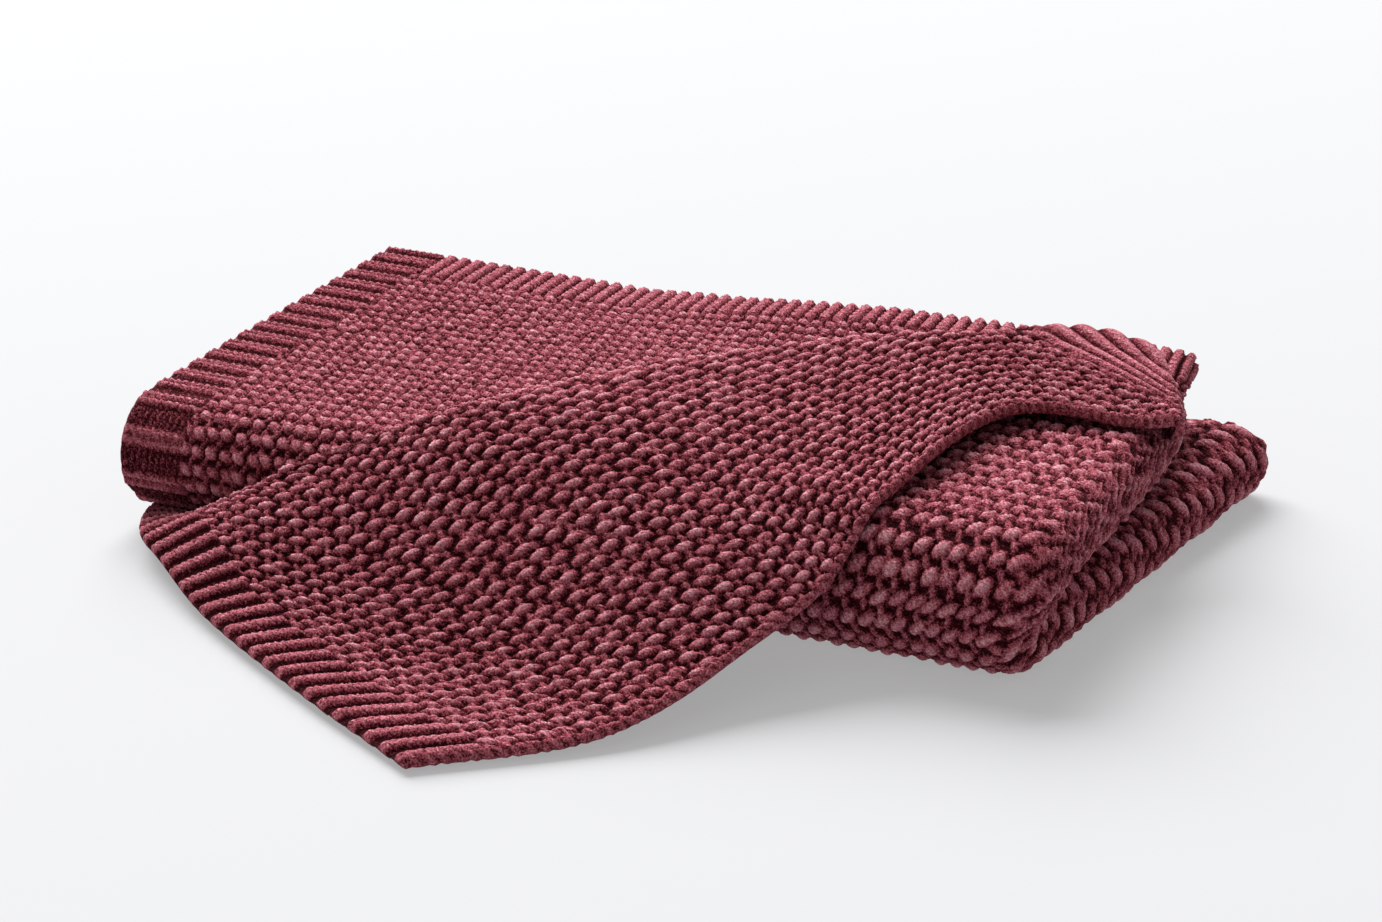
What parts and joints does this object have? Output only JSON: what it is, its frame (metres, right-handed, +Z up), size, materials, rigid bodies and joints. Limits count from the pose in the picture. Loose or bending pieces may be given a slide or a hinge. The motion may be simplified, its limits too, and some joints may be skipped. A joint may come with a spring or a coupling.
{
  "type": "knit blanket",
  "caption": "Knitted throw blanket folded into a flat stack with a round front fold, one corner of its top layer drawn forward over a slanting crest onto the floor",
  "frame": {"origin": "middle of the underside of the blanket's box, on the surface it lies on", "axes": "X to the right along the round front fold, Y to the back edge of the stack, Z up"},
  "size_m": [0.5978, 0.5686, 0.1125],
  "materials": {
    "burgundy_knit": "matt thick knit, burgundy wool-like yarn"
  },
  "bodies": {
    "root": {"blanket": "burgundy_knit"}
  },
  "joints": []
}
